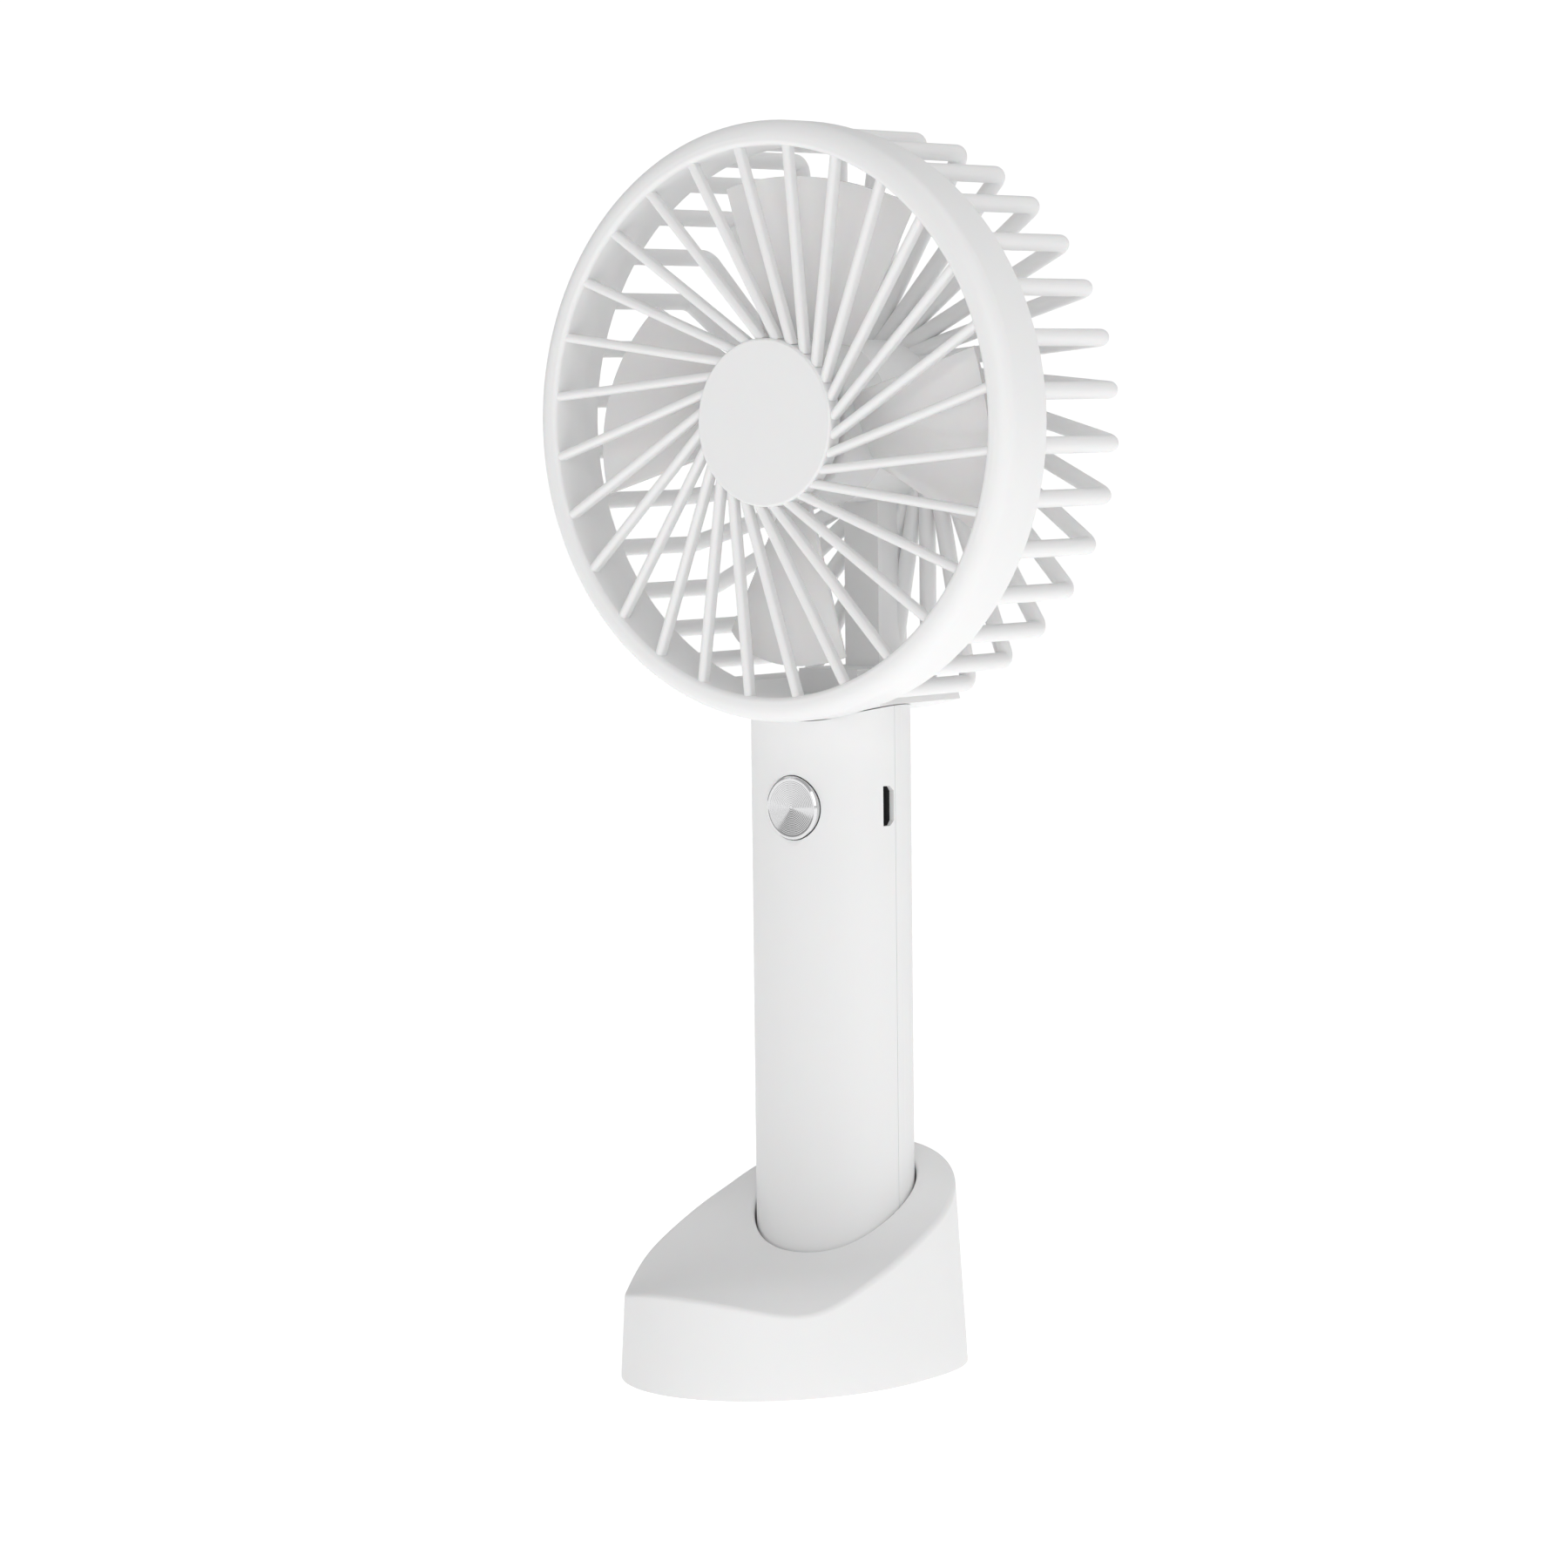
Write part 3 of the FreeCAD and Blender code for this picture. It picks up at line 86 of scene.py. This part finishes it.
def moulded(name, light, dark, roughness, grain_mm, depth_mm, ior=1.53, extra=None):
    """Moulded plastic: faint cloudy colour change from flow, and fine spark-eroded grain."""
    material = finish_named(name)
    where = add(material, "ShaderNodeTexCoord")
    cloud = add(material, "ShaderNodeTexNoise", inputs={"Scale": 55.0, "Detail": 3.0},
                links={"Vector": (where, "Object")})
    tone = add(material, "ShaderNodeMix", {"data_type": "RGBA"},
               {6: srgb(light), 7: srgb(dark)}, {0: (cloud, "Fac")})
    grain = add(material, "ShaderNodeTexNoise", inputs={"Scale": 1.0 / (grain_mm * MM), "Detail": 2.0},
                links={"Vector": (where, "Object")})
    shine = add(material, "ShaderNodeMapRange",
                inputs={"To Min": roughness - 0.05, "To Max": roughness + 0.05},
                links={"Value": (grain, "Fac")})
    bump = add(material, "ShaderNodeBump", inputs={"Strength": 0.5, "Distance": depth_mm * MM},
               links={"Height": (grain, "Fac")})
    settings = {"IOR": ior}
    settings.update(extra or {})
    shader = add(material, "ShaderNodeBsdfPrincipled", inputs=settings,
                 links={"Base Color": (tone, 2), "Roughness": (shine, 0), "Normal": (bump, 0)})
    return close(material, shader)


def metal(name, light, dark, roughness, streak, pitch_mm, depth_mm):
    """Bare or plated metal: fine lines or specks from how it was worked, along one direction."""
    material = finish_named(name)
    where = add(material, "ShaderNodeTexCoord")
    turn = add(material, "ShaderNodeMapping", inputs={"Scale": streak}, links={"Vector": (where, "Object")})
    lines = add(material, "ShaderNodeTexNoise", inputs={"Scale": 1.0 / (pitch_mm * MM), "Detail": 4.0},
                links={"Vector": (turn, 0)})
    tone = add(material, "ShaderNodeMix", {"data_type": "RGBA"},
               {6: srgb(light), 7: srgb(dark)}, {0: (lines, "Fac")})
    shine = add(material, "ShaderNodeMapRange",
                inputs={"To Min": roughness - 0.06, "To Max": roughness + 0.08},
                links={"Value": (lines, "Fac")})
    bump = add(material, "ShaderNodeBump", inputs={"Strength": 0.4, "Distance": depth_mm * MM},
               links={"Height": (lines, "Fac")})
    shader = add(material, "ShaderNodeBsdfPrincipled", inputs={"Metallic": 1.0},
                 links={"Base Color": (tone, 2), "Roughness": (shine, 0), "Normal": (bump, 0)})
    return close(material, shader)


# ---------------------------------------------------------------- materials
# white ABS, moulded in a finely spark-eroded tool: a quiet satin with soft wide highlights
satin_abs = moulded("white_abs_satin", "f0f0f0", "ededed", 0.46, 0.35, 0.012,
                    extra={"Subsurface Weight": 0.08, "Subsurface Scale": 0.6 * MM})
# white ABS from a polished tool, as on the grille and cage: a little brighter and smoother
smooth_abs = moulded("white_abs_smooth", "f0f0f0", "ededed", 0.38, 0.5, 0.006,
                     extra={"Subsurface Weight": 0.1, "Subsurface Scale": 0.6 * MM})
# frosted clear polystyrene blades: milky, glossy, light comes through and edges glow
frosted_blade = moulded("frosted_polystyrene", "f8f8f8", "f4f4f4", 0.2, 0.8, 0.003, ior=1.57,
                        extra={"Transmission Weight": 0.15, "Subsurface Weight": 0.2,
                               "Subsurface Scale": 1.0 * MM})
# grey polypropylene inside the housing: dull and soft looking
grey_pp = moulded("grey_polypropylene", "b9bbbc", "aeb0b1", 0.55, 0.4, 0.01, ior=1.49)
# black glass-filled nylon, as on switches, chips and the socket's tongue: matt with light specks
black_nylon = moulded("black_nylon", "1b1b1c", "252526", 0.5, 0.25, 0.01)
# green solder mask over copper: glossy lacquer with a slight mottle
solder_mask = moulded("green_solder_mask", "1f5a3a", "17482d", 0.25, 0.6, 0.006, ior=1.5,
                      extra={"Coat Weight": 0.4})
# fired ceramic: tan and matt
ceramic = moulded("tan_ceramic", "a58a66", "96794f", 0.6, 0.2, 0.008)
# ferrite: nearly black sintered powder, matt with a fine pitted surface
ferrite = moulded("sintered_ferrite", "2c2c2e", "3a3a3c", 0.7, 0.15, 0.02, ior=2.0)
# shrink sleeve on the cell: smooth glossy PVC film
cell_film = moulded("blue_shrink_film", "2f6fa8", "2a6498", 0.22, 1.2, 0.01, ior=1.54)
# silicone foot pad: dull, slightly rubbery grey-white
silicone = moulded("grey_silicone_rubber", "c4c6c6", "b8baba", 0.75, 0.3, 0.02, ior=1.41)
# PVC wire cover: smooth with a soft shine
red_wire = moulded("red_pvc_wire", "a8221c", "961b16", 0.4, 0.5, 0.008)
black_wire = moulded("black_pvc_wire", "18181a", "222224", 0.4, 0.5, 0.008)
# nickel-plated steel: cool bright plate with faint drawing lines
nickel_steel = metal("nickel_plated_steel", "d3d2cd", "c2c0ba", 0.28, (1.0, 0.15, 1.0), 0.2, 0.004)
# sintered bronze of the motor's bushes: brown-gold, dull and porous
bronze = metal("sintered_bronze", "b58a55", "9c7444", 0.45, (1.0, 1.0, 1.0), 0.12, 0.01)
# enamelled copper: warm and glossy
copper = metal("enamelled_copper", "c9763f", "b3602c", 0.3, (1.0, 1.0, 0.3), 0.15, 0.01)
# spun aluminium: bright, with fine concentric cuts that the mesh itself carries
spun_aluminium = metal("spun_aluminium", "dededf", "d3d3d4", 0.12, (1.0, 1.0, 1.0), 0.3, 0.0015)

FINISHES = {
    satin_abs: ("handle_front_shell", "handle_rear_shell", "dock_shell"),
    smooth_abs: ("front_grille", "rear_cage"),
    frosted_blade: ("impeller",),
    grey_pp: ("dock_base_plate", "motor_sleeve", "button_plunger"),
    black_nylon: ("motor_end_bell", "switch_stem", "switch_body", "controller_chips", "usb_tongue"),
    solder_mask: ("circuit_board",),
    ceramic: ("board_capacitors",),
    ferrite: ("motor_magnets", "board_inductor"),
    cell_film: ("battery_cell",),
    silicone: ("non_slip_pad", "battery_pad"),
    red_wire: ("motor_wire_red", "battery_wire_red"),
    black_wire: ("motor_wire_black", "battery_wire_black"),
    nickel_steel: ("motor_can", "motor_shaft", "rotor_core", "handle_screws", "dock_screws",
                   "board_screws", "usb_socket", "battery_tabs"),
    bronze: ("motor_front_bushing", "motor_rear_bushing"),
    copper: ("motor_brushes", "motor_terminals", "rotor_windings", "commutator"),
    spun_aluminium: ("button_cap",),
}
for finish, names in FINISHES.items():
    for name in names:
        mesh = nodes[name].data
        mesh.materials.clear()
        mesh.materials.append(finish)


# ---------------------------------------------------------------- new pieces
def piece_from(shape, name, finish):
    """Turn a finished bmesh into an object of one material, with its origin at the world's."""
    mesh = bpy.data.meshes.new(name)
    shape.to_mesh(mesh)
    shape.free()
    piece = bpy.data.objects.new(name, mesh)
    bpy.context.scene.collection.objects.link(piece)
    mesh.materials.append(finish)
    return piece


CREASE_ANGLE = math.radians(12)


def turned_piece(name, profile, centre, finish, steps=160):
    """Spin a profile of (radius, y) in mm about the Y axis through centre, with crisp ring edges."""
    shape = bmesh.new()
    points = [shape.verts.new((centre[0] + r * MM, y * MM, centre[2])) for r, y in profile]
    edges = [shape.edges.new(pair) for pair in zip(points, points[1:])]
    bmesh.ops.spin(shape, geom=points + edges, cent=centre, axis=(0, 1, 0), dvec=(0, 0, 0),
                   angle=math.tau, steps=steps, use_merge=True)
    bmesh.ops.remove_doubles(shape, verts=shape.verts, dist=0.002 * MM)
    bmesh.ops.recalc_face_normals(shape, faces=shape.faces)
    for face in shape.faces:
        face.smooth = True
    for edge in shape.edges:
        if len(edge.link_faces) == 2 and edge.calc_face_angle() > CREASE_ANGLE:
            edge.smooth = False
    return piece_from(shape, name, finish)


def button_profile():
    """Spun face with fine rings, a small middle dimple and a polished bevel at the rim."""
    low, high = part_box("button_cap")
    front, back = low.y / MM, high.y / MM
    rim = (high.x - low.x) / 2 / MM
    profile = [(0.0, front + 0.17), (0.28, front + 0.15), (0.42, front + 0.08)]
    pitch, cut_depth = 0.3, 0.04
    radius = 0.5
    while radius < rim - 0.75:
        profile.append((radius, front + 0.06 + cut_depth))
        profile.append((radius + pitch * 0.75, front + 0.06))
        radius += pitch
    profile += [(rim - 0.62, front + 0.05), (rim - 0.5, front), (rim - 0.42, front),
                (rim - 0.06, front + 0.26), (rim, front + 0.34), (rim, back - 0.02), (rim - 0.1, back),
                (0.0, back)]
    return profile


def painted_port_shade():
    """A closed black piece just inside the charging socket's opening, with slanted rear corners: painted
    shade standing in for the dark inside of the socket.
    """
    low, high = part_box("usb_tongue")
    middle = (low.z + high.z) / 2 / MM
    front, rear = 14.45, 12.95
    rim, depth = 0.32, 1.2
    outline = ((-3.9, 3.43), (-2.78, 3.43), (-2.01, 2.56),
               (-2.01, -2.56), (-2.78, -3.43), (-3.9, -3.43))
    shape = bmesh.new()
    ring = [shape.verts.new((front * MM, y * MM, (middle + z) * MM)) for y, z in outline]
    face = shape.faces.new(ring)
    grown = bmesh.ops.extrude_face_region(shape, geom=[face])
    moved = [item for item in grown["geom"] if isinstance(item, bmesh.types.BMVert)]
    bmesh.ops.translate(shape, verts=moved, vec=((rear - front) * MM, 0, 0))
    shape.normal_update()
    mouth = max(shape.faces, key=lambda f: f.calc_center_median().x)
    bmesh.ops.recalc_face_normals(shape, faces=shape.faces)
    bmesh.ops.inset_region(shape, faces=[mouth], thickness=rim * MM, depth=0)
    bmesh.ops.translate(shape, verts=mouth.verts, vec=(-depth * MM, 0, 0))
    bmesh.ops.recalc_face_normals(shape, faces=shape.faces)
    return piece_from(shape, "painted_port_shade", black_nylon)


# a black piece set in the socket opening as painted shade, covering the metal socket behind it
port_shade_piece = painted_port_shade()
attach(port_shade_piece, "fan")

low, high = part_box("button_cap")
button_centre = ((low.x + high.x) / 2, 0.0, (low.z + high.z) / 2)
button = turned_piece("button_cap_spun", button_profile(), button_centre, spun_aluminium)
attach(button, "button")
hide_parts("button_cap")


# ---------------------------------------------------------------- floor, light and camera
# white paper sweep: flat, matt, faint fibre tone; its glow keeps it pure white right up to the dock
paper = moulded("white_paper_sweep", "ffffff", "fdfdfd", 0.9, 3.0, 0.01,
                extra={"Emission Color": (1, 1, 1, 1), "Emission Strength": 0.5})
sheet = bmesh.new()
bmesh.ops.create_grid(sheet, x_segments=1, y_segments=1, size=6.0)
floor = piece_from(sheet, "studio_floor", paper)

world = bpy.data.worlds.new("soft_white_room")
bpy.context.scene.world = world
world.use_nodes = True
room = world.node_tree
room.nodes.clear()
# the room is white to the eye; what lights the object is brighter above and to the right.
# Two patches are there for the turned button to mirror: a small dark one and a wider bright one.
# Each is its direction, the cosines where it starts and is full, and how much light it adds.
DARK_PATCH = ((-0.319, -0.938, -0.133), 0.9981, 0.9993, -0.34)
BRIGHT_PATCH = ((-0.345, -0.937, 0.053), 0.9885, 0.992, 0.6)
aim = add(world, "ShaderNodeTexCoord")
ray = add(world, "ShaderNodeLightPath")
tilt = add(world, "ShaderNodeVectorMath", {"operation": "DOT_PRODUCT"}, {1: (0.62, 0.25, 0.74)},
           {0: (aim, "Generated")})
level = add(world, "ShaderNodeMapRange",
            inputs={"From Min": -1.0, "From Max": 1.0, "To Min": 0.33, "To Max": 0.62},
            links={"Value": (tilt, "Value")})
for toward, edge, full, change in (DARK_PATCH, BRIGHT_PATCH):
    near = add(world, "ShaderNodeVectorMath", {"operation": "DOT_PRODUCT"},
               {1: Vector(toward).normalized()}, {0: (aim, "Generated")})
    patch = add(world, "ShaderNodeMapRange",
                inputs={"From Min": edge, "From Max": full, "To Min": 0.0, "To Max": change},
                links={"Value": (near, "Value")})
    level = add(world, "ShaderNodeMath", {"operation": "ADD"}, links={0: (level, 0), 1: (patch, 0)})
glow = add(world, "ShaderNodeBackground", inputs={"Color": (1, 1, 1, 1)},
           links={"Strength": (level, 0)})
plain = add(world, "ShaderNodeBackground", inputs={"Color": (1, 1, 1, 1), "Strength": 1.05})
choose = add(world, "ShaderNodeMixShader", links={0: (ray, "Is Camera Ray"), 1: (glow, 0), 2: (plain, 0)})
add(world, "ShaderNodeOutputWorld", links={"Surface": (choose, 0)})


def soft_box(name, position, target, size, power):
    """A square area light that points at a target."""
    data = bpy.data.lights.new(name, "AREA")
    data.size = size
    data.energy = power
    light = bpy.data.objects.new(name, data)
    light.location = position
    light.rotation_euler = (Vector(target) - Vector(position)).to_track_quat("-Z", "Y").to_euler()
    bpy.context.scene.collection.objects.link(light)


middle = (0, 0, 0.12)
soft_box("key_light", (0.5, 0.0, 1.4), middle, 0.8, 2.0)
soft_box("fill_light", (0.72, -0.92, 0.5), middle, 0.7, 2.0)
bpy.context.scene.view_settings.view_transform = "Standard"

camera_data = bpy.data.cameras.new("camera")
camera_data.sensor_width = 36.0
camera_data.lens = 112.12
camera = bpy.data.objects.new("camera", camera_data)
bpy.context.scene.collection.objects.link(camera)
bpy.context.scene.camera = camera
turn = math.radians(38.454)
roll = math.radians(-0.639)
back = Vector((0.61990546, -0.78061149, 0.07976794)).normalized()
right = Vector((math.cos(turn), math.sin(turn), 0.0))
up = back.cross(right)
rolled_right = right * math.cos(roll) + up * math.sin(roll)
rolled_up = up * math.cos(roll) - right * math.sin(roll)
facing = Matrix((rolled_right, rolled_up, back)).transposed()
camera.matrix_world = Matrix.Translation(Vector((528.285, -678.586, 171.028)) * MM) @ facing.to_4x4()
